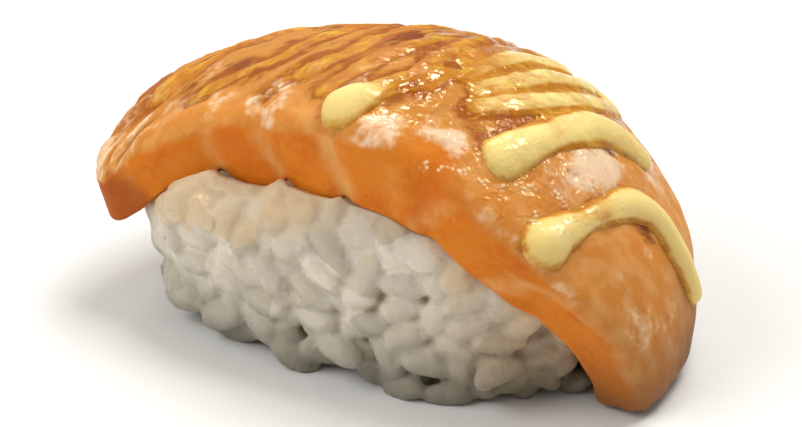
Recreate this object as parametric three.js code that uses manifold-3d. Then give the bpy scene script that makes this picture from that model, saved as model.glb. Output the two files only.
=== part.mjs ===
// Salmon nigiri: a torched slice of salmon with piped sauce, laid over a hand-pressed heap of rice.
// Millimetres, +Z up. The origin is on the flat foot of the rice. +X runs along the slice towards
// the end that hangs down beside the rice, and the cut front side of the slice faces -Y.

import * as THREE from 'three';
import { mergeVertices } from 'three/addons/utils/BufferGeometryUtils.js';
import Module from 'manifold-3d';

const wasm = await Module();
wasm.setup();

// ---------------------------------------------------------------- driving dimensions

// The slice is made flat (x along it, y across it, z up from its underside) and then bent. A list
// is read at even steps from the raised end of the slice to its hanging end.
const sliceLength = 75.4;
const sliceStart = { x: -31.9, z: 14.1 };
const sliceSlopes = [35.4, 15.6, -2.5, -42.7, -93.5];
const sliceHalfWidths = [13.8, 14.3, 14.9, 14.1, 11.1];
const sliceSideShifts = [-2.0, 0.9, 1.0, 1.1, 6.2];
const sliceThicknesses = [6.0, 7.3, 8.6, 7.0, 5.5];
const endSkew = { raised: 0.135, hanging: -0.086 };
const cornerRadii = { raisedFront: 4.2, raisedBack: 5.3, hangingFront: 1.0, hangingBack: 8.4 };
const sliceEdgeRadius = 1.8;
const crossCurve = 0.0224;
const sliceGrid = { along: 44, across: 10, up: 3 };
const sliceGridBunching = 0.4;

// Low waves that the torch leaves on the top, and the grooves between the flakes on the front side.
const searWave = { depth: 0.3, pitch: 4.4, slant: 0.35, fadeFrom: 0.25, fadeTo: 0.62 };
const searWander = { turns: 0.25, perWidth: 0.45 };
const flakeGrooves = { places: [0.245, 0.36, 0.464, 0.6, 0.8], depth: 0.5, width: 1.3, lean: 3.0 };
const grooveFrom = 0.7;
const lowerEdgeNotch = 2.0;

// Piped sauce. A point of a strand is [share of the slice's length, share of its half width with
// the front negative, half width of the strand]. rise is the strand's height for its half width.
const sauceStrands = [
  { rise: 0.7, path: [[0.740, -0.84, 2.0], [0.742, -0.68, 1.5], [0.749, -0.50, 1.1], [0.756, -0.30, 1.15],
    [0.766, -0.08, 1.4], [0.784, 0.09, 1.6], [0.812, 0.16, 1.7], [0.840, 0.18, 1.7], [0.872, 0.21, 1.6],
    [0.905, 0.27, 1.5]] },
  { rise: 0.7, path: [[0.641, -0.61, 1.8], [0.648, -0.46, 1.7], [0.655, -0.29, 1.45], [0.662, -0.14, 1.45],
    [0.672, 0.07, 1.6], [0.684, 0.27, 1.8], [0.702, 0.40, 1.9], [0.722, 0.50, 1.8], [0.738, 0.54, 1.6]] },
  { rise: 0.6, path: [[0.578, -0.41, 0.9], [0.598, -0.25, 1.1], [0.617, -0.06, 1.1], [0.633, 0.18, 1.0],
    [0.650, 0.48, 1.1], [0.668, 0.80, 1.3]] },
  { rise: 0.65, path: [[0.570, -0.25, 1.1], [0.592, 0.11, 1.2], [0.606, 0.44, 1.3], [0.630, 0.80, 1.3]] },
  { rise: 0.6, path: [[0.545, -0.20, 1.0], [0.554, 0.12, 1.1], [0.562, 0.45, 1.2], [0.586, 0.78, 1.2]] },
  { rise: 0.5, path: [[0.518, -0.45, 0.9], [0.530, -0.15, 1.0], [0.532, 0.16, 1.1], [0.548, 0.78, 1.1]] },
  { rise: 0.75, path: [[0.448, -0.81, 2.2], [0.460, -0.70, 1.8], [0.472, -0.59, 1.2], [0.488, -0.45, 1.0],
    [0.502, -0.22, 1.0], [0.506, 0.80, 1.1]] },
  { rise: 0.5, path: [[0.400, -0.70, 0.9], [0.424, -0.50, 1.0], [0.446, -0.20, 1.1], [0.462, 0.05, 1.1],
    [0.474, 0.80, 1.1]] },
  { rise: 0.5, path: [[0.318, -0.78, 0.9], [0.342, -0.61, 1.0], [0.372, -0.40, 1.1], [0.396, -0.17, 1.1],
    [0.414, 0.78, 1.1]] },
  { rise: 0.5, path: [[0.190, -0.73, 0.9], [0.225, -0.62, 1.1], [0.262, -0.46, 1.1], [0.302, -0.26, 1.1],
    [0.350, 0.78, 1.1]] },
  { rise: 0.6, path: [[0.112, -0.46, 1.6], [0.112, -0.37, 1.7], [0.126, -0.28, 1.4], [0.152, -0.20, 1.1],
    [0.250, 0.78, 1.1]] },
];
// Neighbours in the list whose back ends are joined by a turn of the nozzle.
const sauceTurns = [[2, 3], [4, 5], [6, 7], [8, 9]];
const turnOvershoot = 0.1;
const strandSides = 6;
const strandStep = 3.0;
const strandLift = 0.15;

// Rice. The heap is widest part way up, narrows to its foot, and is closed by the slice above.
const riceHalfLength = 28.3;
const riceHalfWidth = 15.9;
const riceCentre = { x: -2.0, y: -0.9 };
const riceTurn = 5.8;
const ricePlanPower = 2.6;
const riceWidestAt = 15.0;
const riceShoulderAt = 24.6;
const riceShoulderShare = 0.75;
const riceFootShare = { length: 0.83, width: 0.85 };
const riceCore = { inset: 1.8, height: 28.6, sides: 30, rows: 5 };
const grainSize = { length: 6.0, width: 2.9, thickness: 2.5 };
const grainSides = 6;
const grainSizeSpread = 0.1;
const grainRows = { lowest: 1.2, pitch: 3.7, count: 7 };
const grainPitch = 6.4;
const rowsTucked = 0.7;
const grainStray = { around: 0.3, up: 0.7 };
const grainSink = { shallow: 1.1, deep: 1.9 };
const grainTilt = 25;
const sliceGap = 0.35;

// ---------------------------------------------------------------- curves and the bend of the slice

const radians = THREE.MathUtils.degToRad;
const clamp = THREE.MathUtils.clamp;

// Smooth reading of a list of even stations at a share of the length.
function stations(values) {
  const curve = new THREE.SplineCurve(values.map((value, index) => new THREE.Vector2(index, value)));
  return (share) => curve.getPoint(clamp(share, 0, 1)).y;
}

const slopeAt = stations(sliceSlopes.map(radians));
const halfWidthAt = stations(sliceHalfWidths);
const sideShiftAt = stations(sliceSideShifts);
const thicknessAt = stations(sliceThicknesses);

// The middle line of the slice's underside, summed from its slopes in short steps.
const lineStep = 0.25;
const lineOverrun = 15;

function sumMiddleLine() {
  const line = [];
  let x = 0;
  let z = 0;
  for (let distance = -lineOverrun; distance <= sliceLength + lineOverrun; distance += lineStep) {
    const slope = slopeAt(distance / sliceLength);
    line.push({ x, z, slope });
    x += Math.cos(slope) * lineStep;
    z += Math.sin(slope) * lineStep;
  }
  const start = line[Math.round(lineOverrun / lineStep)];
  const shift = { x: sliceStart.x - start.x, z: sliceStart.z - start.z };
  return line.map((point) => ({ x: point.x + shift.x, z: point.z + shift.z, slope: point.slope }));
}

const middleLine = sumMiddleLine();

function middleLineAt(distance) {
  const place = clamp((distance + lineOverrun) / lineStep, 0, middleLine.length - 1.001);
  const before = middleLine[Math.floor(place)];
  const after = middleLine[Math.floor(place) + 1];
  const share = place - Math.floor(place);
  return {
    x: before.x + (after.x - before.x) * share,
    z: before.z + (after.z - before.z) * share,
    slope: before.slope + (after.slope - before.slope) * share,
  };
}

// Carries a point of the flat slice to its place on the rice.
function bend({ x, y, z }) {
  const share = x / sliceLength;
  const skew = endSkew.raised * (1 - share) ** 2 + endSkew.hanging * share ** 2;
  const across = y + sideShiftAt(share);
  const line = middleLineAt(x + y * skew);
  const height = z - crossCurve * across ** 2;
  return new THREE.Vector3(
    line.x - Math.sin(line.slope) * height,
    across,
    line.z + Math.cos(line.slope) * height,
  );
}

// Height of a placed point over the slice's underside; negative below it.
function heightOverUnderside({ x, y, z }) {
  const fall = crossCurve * y * y;
  let nearest = Infinity;
  let height = 0;
  for (const line of middleLine) {
    const dx = x - line.x - Math.sin(line.slope) * fall;
    const dz = z - line.z + Math.cos(line.slope) * fall;
    const distance = dx * dx + dz * dz;
    if (distance < nearest) {
      nearest = distance;
      height = Math.cos(line.slope) * dz - Math.sin(line.slope) * dx;
    }
  }
  return height;
}

// ---------------------------------------------------------------- solids

function mergedPositions(geometry) {
  geometry.deleteAttribute('normal');
  geometry.deleteAttribute('uv');
  return mergeVertices(geometry);
}

// Moves each vertex of a closed geometry and makes a solid of the result.
function solidFrom(geometry, place) {
  const merged = mergedPositions(geometry);
  const position = merged.getAttribute('position');
  for (let index = 0; index < position.count; index += 1) {
    const vertex = place(new THREE.Vector3().fromBufferAttribute(position, index));
    position.setXYZ(index, vertex.x, vertex.y, vertex.z);
  }
  return new wasm.Manifold(new wasm.Mesh({
    numProp: 3,
    vertProperties: new Float32Array(position.array),
    triVerts: new Uint32Array(merged.getIndex().array),
  }));
}

// The largest body alone: pockets that joining sealed are filled, and loose scraps are dropped.
function largestBody(solid) {
  return solid.decompose().reduce((best, body) => (body.volume() > best.volume() ? body : best));
}

function meshFrom(solid, name, material) {
  const { vertProperties, triVerts } = solid.getMesh();
  const geometry = new THREE.BufferGeometry();
  geometry.setAttribute('position', new THREE.BufferAttribute(vertProperties, 3));
  geometry.setIndex(new THREE.BufferAttribute(triVerts, 1));
  geometry.computeVertexNormals();
  const mesh = new THREE.Mesh(geometry, material);
  mesh.name = name;
  return mesh;
}

// ---------------------------------------------------------------- salmon

// How far a rounded corner of the slice's plan stands in at this distance from the end.
function cornerInset(distance, radius) {
  const share = clamp(1 - distance / radius, 0, 1);
  return radius * (1 - Math.sqrt(1 - share * share));
}

function edgeAt(x, side) {
  const front = side < 0;
  const raised = front ? cornerRadii.raisedFront : cornerRadii.raisedBack;
  const hanging = front ? cornerRadii.hangingFront : cornerRadii.hangingBack;
  return halfWidthAt(x / sliceLength) - cornerInset(x, raised) - cornerInset(sliceLength - x, hanging);
}

// Rounds the edges of a box that reaches half each way from its centre.
function roundEdges(point, half, radius) {
  const inner = half.clone().subScalar(radius);
  const kept = point.clone().clamp(inner.clone().negate(), inner);
  const out = point.clone().sub(kept);
  return out.lengthSq() > 0 ? kept.add(out.setLength(radius)) : kept;
}

function searDepth(x, y) {
  const share = x / sliceLength;
  const fade = 1 - THREE.MathUtils.smoothstep(share, searWave.fadeFrom, searWave.fadeTo);
  const wander = searWander.turns * Math.sin(searWander.perWidth * y);
  const phase = (x - searWave.slant * y) / searWave.pitch + wander;
  return searWave.depth * fade * (0.5 - 0.5 * Math.sin(2 * Math.PI * phase));
}

function grooveDepth(x, height) {
  const leaned = x - flakeGrooves.lean * height;
  return flakeGrooves.places.reduce((depth, place) => {
    const away = (leaned - place * sliceLength) / flakeGrooves.width;
    return depth + flakeGrooves.depth * Math.exp(-away * away);
  }, 0);
}

// Vertices bunch up towards the ends of a span, where the edges are round.
function bunched(share) {
  return THREE.MathUtils.lerp(share, 0.5 - 0.5 * Math.cos(Math.PI * share), sliceGridBunching);
}

function placeOnSlice(unit) {
  const x = bunched(unit.x + 0.5) * sliceLength;
  const side = 2 * bunched(unit.y + 0.5) - 1;
  const height = bunched(unit.z + 0.5);
  const edge = edgeAt(x, side);
  const thickness = thicknessAt(x / sliceLength);
  const half = new THREE.Vector3(sliceLength / 2, edge, thickness / 2);
  const middle = new THREE.Vector3(x - half.x, side * edge, (height - 0.5) * thickness);
  const flat = roundEdges(middle, half, sliceEdgeRadius);
  const topShare = clamp(flat.z / half.z, 0, 1);
  const frontShare = clamp((-flat.y / edge - grooveFrom) / (1 - grooveFrom), 0, 1);
  const groove = frontShare * grooveDepth(x, 0.5 - height);
  flat.y += groove;
  flat.z += lowerEdgeNotch * groove * (1 - height) - topShare * searDepth(x, flat.y);
  return bend({ x: flat.x + half.x, y: flat.y, z: flat.z + half.z });
}

function makeSlice() {
  const box = new THREE.BoxGeometry(1, 1, 1, sliceGrid.along, sliceGrid.across, sliceGrid.up);
  return solidFrom(box, placeOnSlice);
}

// A strand is a capsule drawn along its path on the flat top and then bent with the slice.
function makeStrand({ rise, path }) {
  const centre = new THREE.CatmullRomCurve3(path.map(([along, across]) => {
    const x = along * sliceLength;
    return new THREE.Vector3(x, across * halfWidthAt(along), 0);
  }));
  const size = new THREE.SplineCurve(path.map(([, , half], index) => new THREE.Vector2(index, half)));
  const steps = Math.max(path.length, Math.ceil(centre.getLength() / strandStep));
  const capsule = new THREE.CapsuleGeometry(1, 2, 2, strandSides, steps);
  return solidFrom(capsule, (vertex) => {
    const share = clamp(vertex.y / 2 + 0.5, 0, 1);
    const past = vertex.y - clamp(vertex.y, -1, 1);
    const half = size.getPoint(share).y;
    const tangent = centre.getTangent(share);
    const spot = centre.getPoint(share);
    spot.addScaledVector(tangent, past * half);
    spot.x += tangent.y * vertex.x * half;
    spot.y -= tangent.x * vertex.x * half;
    spot.z = thicknessAt(spot.x / sliceLength) + (strandLift + rise * vertex.z) * half;
    return bend(spot);
  });
}

// The turn between the back ends of two strands.
function joinStrands([first, second]) {
  const from = sauceStrands[first].path.at(-1);
  const to = sauceStrands[second].path.at(-1);
  const past = ([along, across, half]) => [along, across + turnOvershoot, half];
  return { rise: sauceStrands[second].rise, path: [from, past(from), past(to), to] };
}

function makeSalmon() {
  const strands = [...sauceStrands, ...sauceTurns.map(joinStrands)].map(makeStrand);
  return largestBody(wasm.Manifold.union([makeSlice(), ...strands]));
}

// ---------------------------------------------------------------- rice

// Plan of the heap at its widest, a rounded oblong read by the share of its length round it.
function makePlan() {
  const points = [];
  const corners = 96;
  for (let index = 0; index <= corners; index += 1) {
    const angle = (2 * Math.PI * index) / corners;
    const cos = Math.cos(angle);
    const sin = Math.sin(angle);
    points.push(new THREE.Vector2(
      riceHalfLength * Math.sign(cos) * Math.abs(cos) ** (2 / ricePlanPower),
      riceHalfWidth * Math.sign(sin) * Math.abs(sin) ** (2 / ricePlanPower),
    ));
  }
  return new THREE.SplineCurve(points);
}

const ricePlan = makePlan();

// Share of the widest plan that the heap has at a height.
function planShare(height, footShare) {
  if (height < riceWidestAt) {
    return footShare + (1 - footShare) * (1 - (1 - height / riceWidestAt) ** 2);
  }
  const over = (height - riceWidestAt) / (riceShoulderAt - riceWidestAt);
  return 1 - (1 - riceShoulderShare) * over ** 2;
}

function onHeap(around, height, inset = 0) {
  const plan = ricePlan.getPointAt(((around % 1) + 1) % 1);
  const shareX = planShare(height, riceFootShare.length) * (1 - inset / riceHalfLength);
  const shareY = planShare(height, riceFootShare.width) * (1 - inset / riceHalfWidth);
  const point = new THREE.Vector3(plan.x * shareX, plan.y * shareY, height);
  point.applyAxisAngle(new THREE.Vector3(0, 0, 1), radians(riceTurn));
  return point.add(new THREE.Vector3(riceCentre.x, riceCentre.y, 0));
}

function makeCore() {
  const column = new THREE.CylinderGeometry(1, 1, 1, riceCore.sides, riceCore.rows);
  return solidFrom(column, (vertex) => {
    const height = (vertex.y + 0.5) * riceCore.height;
    const around = Math.atan2(vertex.z, vertex.x) / (2 * Math.PI);
    const reach = Math.hypot(vertex.x, vertex.z);
    const centre = new THREE.Vector3(riceCentre.x, riceCentre.y, height);
    return centre.lerp(onHeap(-around, height, riceCore.inset), reach);
  });
}

// Evenly scattered repeatable numbers, one per index and channel.
function scatter(index, channel) {
  const value = Math.sin(index * 12.9898 + channel * 78.233) * 43758.5453;
  return value - Math.floor(value);
}

function placeGrain(around, height, index) {
  const spot = onHeap(around, height);
  const sideways = onHeap(around + 0.004, height).sub(onHeap(around - 0.004, height)).normalize();
  const upwards = onHeap(around, height + 0.5).sub(onHeap(around, height - 0.5)).normalize();
  const outwards = sideways.clone().cross(upwards).normalize();
  const sink = THREE.MathUtils.lerp(grainSink.shallow, grainSink.deep, scatter(index, 1));
  spot.addScaledVector(outwards, -sink);
  const turn = Math.PI * scatter(index, 2);
  const tilt = radians(grainTilt) * (2 * scatter(index, 3) - 1);
  const along = sideways.multiplyScalar(Math.cos(turn)).addScaledVector(upwards, Math.sin(turn));
  along.multiplyScalar(Math.cos(tilt)).addScaledVector(outwards, Math.sin(tilt)).normalize();
  const across = outwards.clone().cross(along).normalize();
  const through = along.clone().cross(across);
  return { spot, axes: new THREE.Matrix4().makeBasis(along, across, through) };
}

// Slides a grain down until it clears the slice, so that the row which meets the slice is tucked
// up under it. One that starts more than a row above the underside is left out.
function clearOfSlice({ spot, axes }) {
  const along = new THREE.Vector3().setFromMatrixColumn(axes, 0);
  const reach = Math.hypot(grainSize.thickness / 2, along.z * (grainSize.length / 2));
  const height = heightOverUnderside(spot);
  if (height > grainRows.pitch * rowsTucked) {
    return false;
  }
  spot.z -= Math.max(height + reach + sliceGap, 0);
  return spot.z > 0;
}

// A grain is a short capsule with few sides, flattened to the grain's three sizes.
function makeGrain({ spot, axes }, index) {
  const straight = 0.8;
  const capsule = new THREE.CapsuleGeometry(1, straight, 1, grainSides, 1);
  capsule.rotateZ(Math.PI / 2);
  const size = 1 + grainSizeSpread * (2 * scatter(index, 4) - 1);
  const half = new THREE.Vector3(
    grainSize.length / (2 + straight),
    grainSize.width / 2,
    grainSize.thickness / 2,
  );
  half.multiplyScalar(size);
  return solidFrom(capsule, (vertex) => vertex.multiply(half).applyMatrix4(axes).add(spot));
}

// All that lies less than the gap under the slice, beside it at that level, or over it.
function makeSliceClearance() {
  const box = new THREE.BoxGeometry(1, 1, 1, 44, 8, 1);
  const sideRoom = 8;
  const endRoom = 8;
  const headRoom = 16;
  return solidFrom(box, (unit) => {
    const x = (unit.x + 0.5) * (sliceLength + 2 * endRoom) - endRoom;
    const y = unit.y * 2 * (Math.max(...sliceHalfWidths) + sideRoom);
    const z = unit.z > 0 ? headRoom : -sliceGap;
    return bend({ x, y, z });
  });
}

function makeGround() {
  const depth = 10;
  const spread = 120;
  return solidFrom(new THREE.BoxGeometry(spread, spread, depth), (vertex) => {
    vertex.z -= depth / 2;
    return vertex;
  });
}

// Grains in staggered rows round the heap, each strayed a little from its even place.
function scatterGrains() {
  const grains = [];
  let index = 0;
  for (let row = 0; row < grainRows.count; row += 1) {
    const level = grainRows.lowest + row * grainRows.pitch;
    const girth = ricePlan.getLength() * planShare(level, riceFootShare.length);
    const inRow = Math.round(girth / grainPitch);
    for (let place = 0; place < inRow; place += 1) {
      index += 1;
      const stray = grainStray.around * (2 * scatter(index, 5) - 1);
      const around = (place + (row % 2) / 2 + stray) / inRow;
      const height = level + grainStray.up * (2 * scatter(index, 6) - 1) * Math.sign(row);
      const grain = placeGrain(around, height, index);
      if (clearOfSlice(grain)) {
        grains.push(makeGrain(grain, index));
      }
    }
  }
  return grains;
}

function makeRice() {
  const heap = wasm.Manifold.union([makeCore(), ...scatterGrains()]);
  return largestBody(heap.subtract(makeSliceClearance()).subtract(makeGround()));
}

// ---------------------------------------------------------------- the part

const salmonMaterial = new THREE.MeshStandardMaterial({ color: 0xd97a2e, roughness: 0.35, metalness: 0 });
const riceMaterial = new THREE.MeshStandardMaterial({ color: 0xd8ccb6, roughness: 0.55, metalness: 0 });

const nigiri = new THREE.Group();
nigiri.add(meshFrom(makeRice(), 'rice', riceMaterial));
nigiri.add(meshFrom(makeSalmon(), 'salmon', salmonMaterial));

export default nigiri;
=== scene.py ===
"""Salmon nigiri: a torched slice of salmon with piped sauce, laid over a hand-pressed heap of rice.

The slice is made flat, with x along it, y across it and z up from its underside, and is then bent
over the rice, as are the sauce and all that is painted on them. Shapes are worked out in
millimetres and turned into metres when their mesh is made.
"""

import math
from itertools import product

import bpy
import numpy as np
from bpy.props import FloatProperty, FloatVectorProperty, IntProperty, PointerProperty
from mathutils import Matrix, Vector


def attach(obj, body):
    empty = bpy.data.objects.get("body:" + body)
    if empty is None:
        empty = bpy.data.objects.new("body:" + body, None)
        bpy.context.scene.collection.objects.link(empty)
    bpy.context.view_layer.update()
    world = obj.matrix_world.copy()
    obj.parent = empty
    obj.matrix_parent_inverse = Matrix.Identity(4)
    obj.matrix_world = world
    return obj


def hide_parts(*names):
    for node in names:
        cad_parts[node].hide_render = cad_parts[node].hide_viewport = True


bl_info = {
    "name": "Salmon nigiri",
    "version": (1, 0, 0),
    "blender": (4, 5, 0),
    "location": "3D View > Sidebar > Nigiri",
    "description": "Makes a torched salmon nigiri with piped sauce, in place on its packed solids",
    "category": "Add Mesh",
}

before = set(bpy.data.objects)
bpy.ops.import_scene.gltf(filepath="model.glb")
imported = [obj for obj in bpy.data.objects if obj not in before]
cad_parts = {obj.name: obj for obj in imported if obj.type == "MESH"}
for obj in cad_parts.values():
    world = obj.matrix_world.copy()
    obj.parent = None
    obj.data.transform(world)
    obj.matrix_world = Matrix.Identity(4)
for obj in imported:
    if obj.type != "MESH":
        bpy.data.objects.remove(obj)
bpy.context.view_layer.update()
MM = 0.001

# ---------------------------------------------------------------- sizes of the slice, mm

# The bend, plan, thickness, sauce paths and heap are the solids' own. The lower edge and its
# scallops, the places of the grooves, the lean of the raised end and the single grains are finer.
# Lists of the slice are read at even steps from its raised end to its hanging end.
SLICE_LENGTH = 75.4
SLICE_START = (-31.9, 14.1)
SLICE_SLOPES = (35.4, 15.6, -2.5, -42.7, -93.5)
SLICE_HALF_WIDTHS = (13.8, 14.3, 14.9, 14.1, 11.1)
SLICE_SIDE_SHIFTS = (-2.0, 0.9, 1.0, 1.1, 6.2)
SLICE_THICKNESSES = (6.0, 7.3, 8.6, 7.0, 5.5)
SKEW_RAISED, SKEW_HANGING = 0.135, -0.086
CORNERS_FRONT = (4.2, 1.0)
CORNERS_BACK = (5.3, 8.4)
SLICE_EDGE_RADIUS, LOWER_EDGE_RADIUS = 1.8, 0.9
EDGE_RADIUS_CHANGES = (0.3, 0.7)
END_LEAN, END_LEAN_REACH = (-0.4, 1.8, 0.6), 8.0
CROSS_CURVE = 0.0224
LINE_STEP, LINE_OVERRUN = 0.25, 15

SEAR_DEPTH, SEAR_PITCH, SEAR_SLANT = 0.3, 4.4, 0.35
SEAR_FADE = (0.25, 0.62)
SEAR_WANDER = (0.25, 0.45)
GROOVE_PLACES = (0.232, 0.345, 0.450, 0.6, 0.8)
GROOVE_DEPTH, GROOVE_WIDTH, GROOVE_LEAN, GROOVE_FROM = 0.35, 1.6, 3.0, 0.7

# The front lower edge of the slice: share of its length, and how far it stands up there in mm.
SCALLOPS = (
    (0.00, 0.0), (0.09, 0.1), (0.17, 1.0), (0.225, 1.1), (0.245, 1.3), (0.262, 0.4), (0.30, -0.4),
    (0.335, -0.5), (0.354, 0.2), (0.362, 0.8), (0.378, 0.1), (0.42, -0.2), (0.452, 0.0),
    (0.464, 0.6), (0.482, 0.2), (0.54, 0.4), (0.58, 0.3), (0.64, 0.7), (0.70, 0.2), (1.00, 0.0),
)

# ---------------------------------------------------------------- sizes of the sauce, mm

# A strand is (its height for its half width, its points), and a point of it is (share of the
# slice's length, share of its half width with the front negative, half width of the strand,
# browning from the torch). The turns join the back ends of two strands.
SAUCE_STRANDS = (
    (0.7, ((0.740, -0.84, 2.0, 0.0), (0.742, -0.68, 1.5, 0.10), (0.749, -0.50, 1.1, 0.35),
           (0.756, -0.30, 1.15, 0.35), (0.766, -0.08, 1.4, 0.10), (0.784, 0.09, 1.6, 0.0),
           (0.812, 0.16, 1.7, 0.0), (0.840, 0.18, 1.7, 0.0), (0.872, 0.21, 1.6, 0.0),
           (0.905, 0.27, 1.5, 0.0))),
    (0.7, ((0.641, -0.61, 1.8, 0.0), (0.648, -0.46, 1.7, 0.0), (0.655, -0.29, 1.45, 0.15),
           (0.662, -0.14, 1.45, 0.30), (0.672, 0.07, 1.6, 0.25), (0.684, 0.27, 1.8, 0.10),
           (0.702, 0.40, 1.9, 0.0), (0.722, 0.50, 1.8, 0.0), (0.738, 0.54, 1.6, 0.0))),
    (0.6, ((0.578, -0.41, 0.9, 0.70), (0.598, -0.25, 1.1, 0.50), (0.617, -0.06, 1.1, 0.35),
           (0.633, 0.18, 1.0, 0.35), (0.650, 0.48, 1.1, 0.40), (0.668, 0.80, 1.3, 0.30))),
    (0.65, ((0.570, -0.25, 1.1, 0.60), (0.592, 0.11, 1.2, 0.50), (0.606, 0.44, 1.3, 0.35),
            (0.630, 0.80, 1.3, 0.20))),
    (0.6, ((0.545, -0.20, 1.0, 0.80), (0.554, 0.12, 1.1, 0.60), (0.562, 0.45, 1.2, 0.35),
           (0.586, 0.78, 1.2, 0.30))),
    (0.5, ((0.518, -0.45, 0.9, 0.85), (0.530, -0.15, 1.0, 0.85), (0.532, 0.16, 1.1, 0.75),
           (0.548, 0.78, 1.1, 0.60))),
    (0.75, ((0.448, -0.81, 2.2, 0.0), (0.460, -0.70, 1.8, 0.0), (0.472, -0.59, 1.2, 0.40),
            (0.488, -0.45, 1.0, 0.75), (0.502, -0.22, 1.0, 0.80), (0.506, 0.80, 1.1, 0.80))),
    (0.5, ((0.400, -0.70, 0.9, 0.90), (0.424, -0.50, 1.0, 0.85), (0.446, -0.20, 1.1, 0.75),
           (0.462, 0.05, 1.1, 0.80), (0.474, 0.80, 1.1, 0.80))),
    (0.5, ((0.318, -0.78, 0.9, 0.95), (0.342, -0.61, 1.0, 0.90), (0.372, -0.40, 1.1, 0.80),
           (0.396, -0.17, 1.1, 0.80), (0.414, 0.78, 1.1, 0.85))),
    (0.5, ((0.190, -0.73, 0.9, 0.95), (0.225, -0.62, 1.1, 0.80), (0.262, -0.46, 1.1, 0.80),
           (0.302, -0.26, 1.1, 0.85), (0.350, 0.78, 1.1, 0.85))),
    (0.6, ((0.112, -0.46, 1.6, 0.65), (0.112, -0.37, 1.7, 0.60), (0.126, -0.28, 1.4, 0.70),
           (0.152, -0.20, 1.1, 0.80), (0.250, 0.78, 1.1, 0.85))),
)
SAUCE_TURNS = ((2, 3), (4, 5), (6, 7), (8, 9))
TURN_OVERSHOOT = 0.1
STRAND_LIFT = 0.15
STRAND_SPREAD, STRAND_MELTED_SPREAD, STRAND_MELTED_DROP = 1.22, 0.45, 0.7
TORCH_STREAKS, STRAND_TURN = (2.6, 1.1, 1.2), 60
SAUCE_SMOOTHING = 8

# ---------------------------------------------------------------- sizes of the rice, mm

RICE_HALF_LENGTH, RICE_HALF_WIDTH = 28.3, 15.9
RICE_CENTRE = (-2.0, -0.9)
RICE_TURN = 5.8
RICE_PLAN_POWER = 2.6
RICE_WIDEST_AT, RICE_SHOULDER_AT, RICE_SHOULDER_SHARE = 15.0, 24.6, 0.75
RICE_FOOT_LENGTH, RICE_FOOT_WIDTH = 0.83, 0.85
SLICE_GAP, PRESSED_UP = 0.06, 0.35
GRAIN_HEIGHTS, GRAIN_LEAN, GRAIN_STRAY, GRAIN_DROP = (1.0, 25.5), -15, 28, 1.3
OUTER_SINK, DEEP_SINK = (0.95, 1.3), (1.5, 1.9)
FOOT_HEIGHT, FOOT_PROUD, FOOT_PROUD_CHANCE = 6.0, 1.4, 0.45
CORE_TOP, CORE_INSET, CORE_LOOSE, CORE_UNEVEN = 27.0, 0.8, 1.5, 0.35
PROUD_LIMIT, PROUD_PRESS = 0.6, 0.75
RICE_SEED, RICE_SMOOTHING = 7, 1

# ---------------------------------------------------------------- settings


def paint(red, green, blue):
    """A colour given as it looks on a screen, 0 to 255, turned into the linear one of a shader."""
    shares = (value / 255 for value in (red, green, blue))
    return tuple(s / 12.92 if s < 0.04045 else ((s + 0.055) / 1.055) ** 2.4 for s in shares)


def colour_property(name, description, default):
    return FloatVectorProperty(
        name=name, description=description, default=default, subtype="COLOR", size=3, min=0, max=1
    )


def length_property(name, description, default):
    return FloatProperty(name=name, description=description, default=default, unit="LENGTH", min=0)


def power_property(name, description, default):
    return FloatProperty(name=name, description=description, default=default, unit="POWER")


def count_property(name, description, default):
    return IntProperty(name=name, description=description, default=default, min=0)


class SalmonSettings(bpy.types.PropertyGroup):
    """Sizes and colours of the slice."""

    grid: length_property("Grid", "Spacing of the mesh over the slice", 0.26 * MM)
    relief: length_property("Relief", "Height of the low lumps all over the slice", 0.16 * MM)
    cut: colour_property("Cut side", "Raw orange of the cut side", paint(210, 109, 14))
    cut_light: colour_property("Paler cut side", "Paler orange between", paint(218, 124, 22))
    top: colour_property("Top", "Half cooked orange of the top", paint(214, 135, 54))
    top_light: colour_property("Paler top", "Mottling of the top", paint(223, 156, 82))
    seared: colour_property("Seared", "Flesh between the torched streaks", paint(196, 132, 58))
    fat: colour_property("Fat", "Pale cooked fat", paint(238, 204, 166))
    seam: colour_property("Seam", "Pale lines between the flakes", paint(224, 156, 84))
    golden: colour_property("Golden", "Torched to gold", paint(160, 84, 14))
    blistered: colour_property("Blistered", "Paler gold of the torched streaks", paint(192, 128, 30))
    scorched: colour_property("Scorched", "Torched to red-brown", paint(134, 66, 22))
    toe: colour_property("Toe", "Red-brown of the raised end's low corner", paint(150, 62, 18))
    # Painted shade: the hanging end is painted darker towards its tip.
    tip_shade: colour_property("Tip shade", "Dull brown of the hanging end", paint(112, 76, 44))
    # Pale beads of oil, partly real and partly a painted highlight.
    bead_glint: colour_property("Bead glint", "Small beads of oil", paint(252, 232, 184))


class SauceSettings(bpy.types.PropertyGroup):
    """Sizes and colours of the piped sauce."""

    voxel: length_property("Voxel", "Size of the grid that joins the strands", 0.24 * MM)
    relief: length_property("Relief", "Height of the lumps where it is torched", 0.2 * MM)
    cream: colour_property("Cream", "Sauce that the torch missed", paint(243, 215, 136))
    thin: colour_property("Thin", "Sauce where it lies thin", paint(228, 184, 92))
    golden: colour_property("Golden", "Sauce torched to gold", paint(196, 126, 28))
    blistered: colour_property("Blistered", "Paler gold of the torched streaks", paint(214, 164, 48))
    scorched: colour_property("Scorched", "Sauce torched to brown", paint(164, 84, 28))
    soaked: colour_property("Soaked", "Torched sauce that sank into the salmon", paint(180, 100, 26))
    # Pale beads of oil, partly real and partly a painted highlight.
    bead_glint: colour_property("Bead glint", "Small beads of oil", paint(255, 244, 204))


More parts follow.
